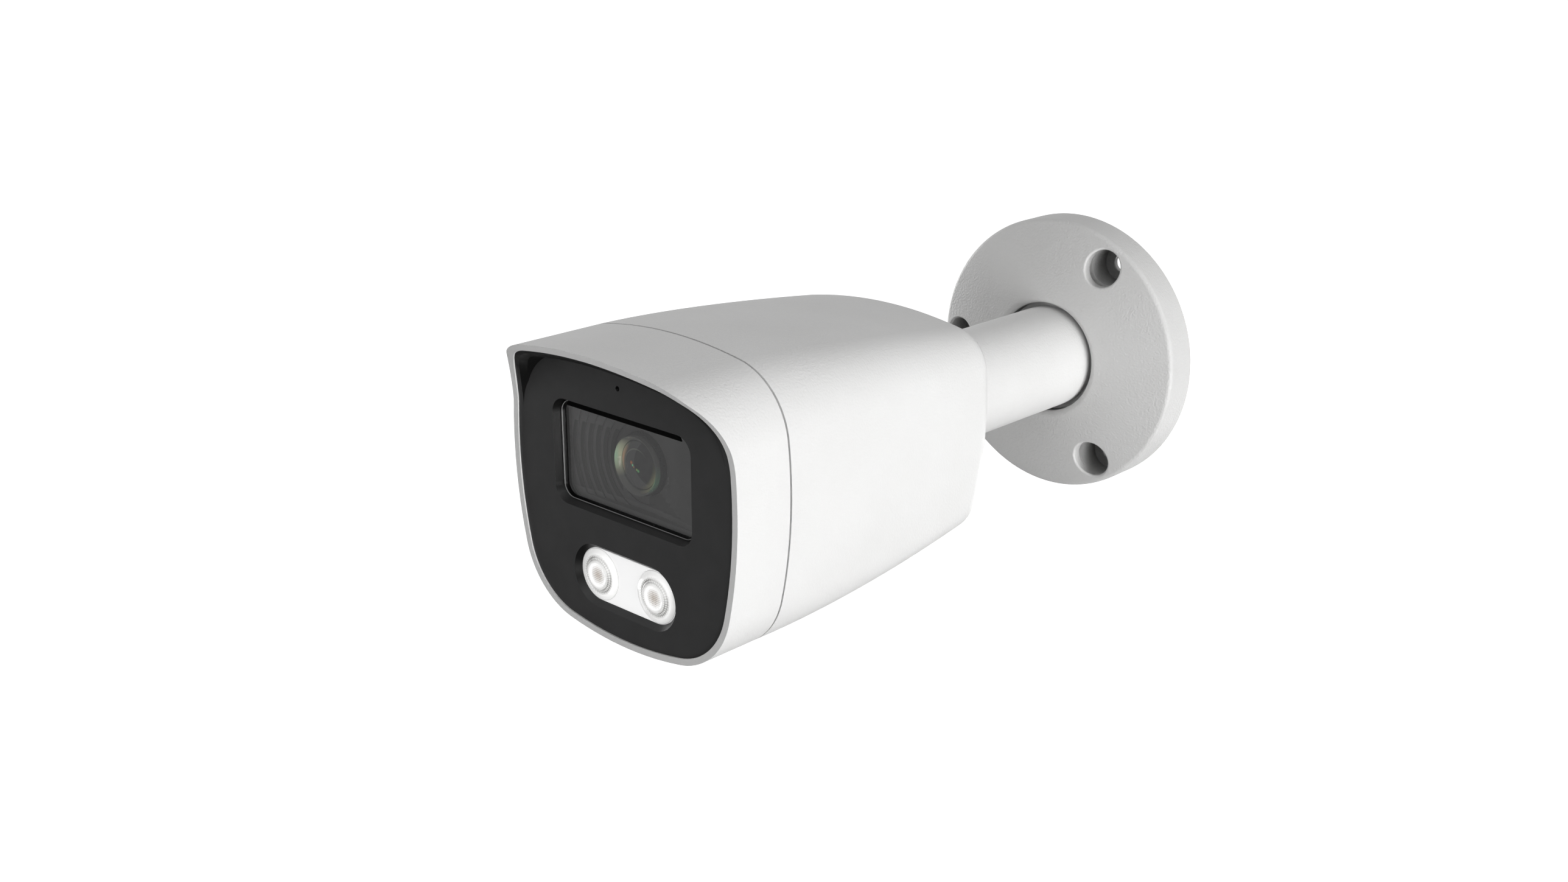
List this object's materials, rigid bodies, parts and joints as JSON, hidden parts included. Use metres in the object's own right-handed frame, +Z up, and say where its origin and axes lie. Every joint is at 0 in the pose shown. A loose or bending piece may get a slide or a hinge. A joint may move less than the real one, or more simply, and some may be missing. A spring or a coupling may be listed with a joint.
{
  "type": "security camera",
  "caption": "Compact bullet security camera with a tapered white housing, visor, black lensed face with two lamps, and a turning, tilting arm on a round wall plate.",
  "frame": {"origin": "centre of the wall plate's back face, on the wall and on the arm's axis", "axes": "+Z up, +Y into the wall along the arm's axis, the camera looks along -Y, +X to the camera's left as it looks out (right when seen from the front)"},
  "size_m": [0.07, 0.1651, 0.07],
  "materials": {
    "white_paint": "satin",
    "black_face": "satin",
    "clear_window": "polished",
    "lens_coated": "polished",
    "lens_black": "satin",
    "shroud_grey": "matte",
    "black_plastic": "matte",
    "black_rubber": "matte",
    "lamp_white": "gloss",
    "lamp_clear": "polished",
    "lamp_chip": "satin",
    "filter_glass": "polished",
    "circuit_green": "satin",
    "circuit_white": "satin",
    "chip_black": "matte",
    "connector_white": "satin",
    "ribbon_white": "satin",
    "brass_hex": "satin",
    "bare_aluminium": "satin",
    "pad_blue": "matte",
    "steel": "satin",
    "nylon": "satin"
  },
  "bodies": {
    "wall_base": {"wall_plate": "white_paint", "friction_ring": "nylon", "swivel_retainer": "steel", "retainer_screws": "steel"},
    "bracket_arm": {"arm": "white_paint", "tilt_screw": "steel", "tilt_nut": "steel", "tilt_washers": "nylon"},
    "bracket_knuckle": {"knuckle": "white_paint", "swivel_washer": "nylon", "swivel_nut": "bare_aluminium"},
    "ir_filter": {"filter_frame": "black_plastic", "filter_glasses": "filter_glass"},
    "camera": {"rear_body": "white_paint", "front_collar": "white_paint", "front_panel": "black_face", "window_glass": "clear_window", "lens_front_element": "lens_coated", "lens_rear_element": "lens_coated", "lens_barrel": "lens_black", "lens_retaining_ring": "lens_black", "lens_shroud": "shroud_grey", "lens_holder": "black_plastic", "inner_frame": "black_plastic", "filter_coil": "black_plastic", "front_seal": "black_rubber", "window_gasket": "black_rubber", "mic_boot": "black_rubber", "cable_gland": "black_rubber", "led_plate": "lamp_white", "led_lenses": "lamp_clear", "led_chips": "lamp_chip", "sensor_board": "circuit_green", "main_board": "circuit_green", "led_board": "circuit_white", "main_chips": "chip_black", "image_sensor": "chip_black", "microphone": "chip_black", "board_connectors": "connector_white", "sensor_ribbon": "ribbon_white", "board_standoffs": "brass_hex", "board_spacers": "brass_hex", "heat_spreader": "bare_aluminium", "thermal_pad": "pad_blue", "sensor_screws": "steel", "led_screws": "steel", "board_screws": "steel", "cover_screws": "steel"}
  },
  "joints": [
    {"name": "arm_turn", "type": "hinge", "parent": "wall_base", "child": "bracket_arm", "pos_m": [0, 0, 0], "axis": [0, 1, 0], "range_deg": [-180, 180]},
    {"name": "camera_tilt", "type": "hinge", "parent": "bracket_arm", "child": "bracket_knuckle", "pos_m": [0, -0.0574, 0], "axis": [1, 0, 0], "range_deg": [-90, 90]},
    {"name": "camera_turn", "type": "hinge", "parent": "bracket_knuckle", "child": "camera", "pos_m": [0, -0.0745, 0], "axis": [0, 1, 0], "range_deg": [-180, 180]},
    {"name": "filter_slide", "type": "slide", "parent": "camera", "child": "ir_filter", "axis": [1, 0, 0], "range_m": [0, 0.0064]}
  ]
}
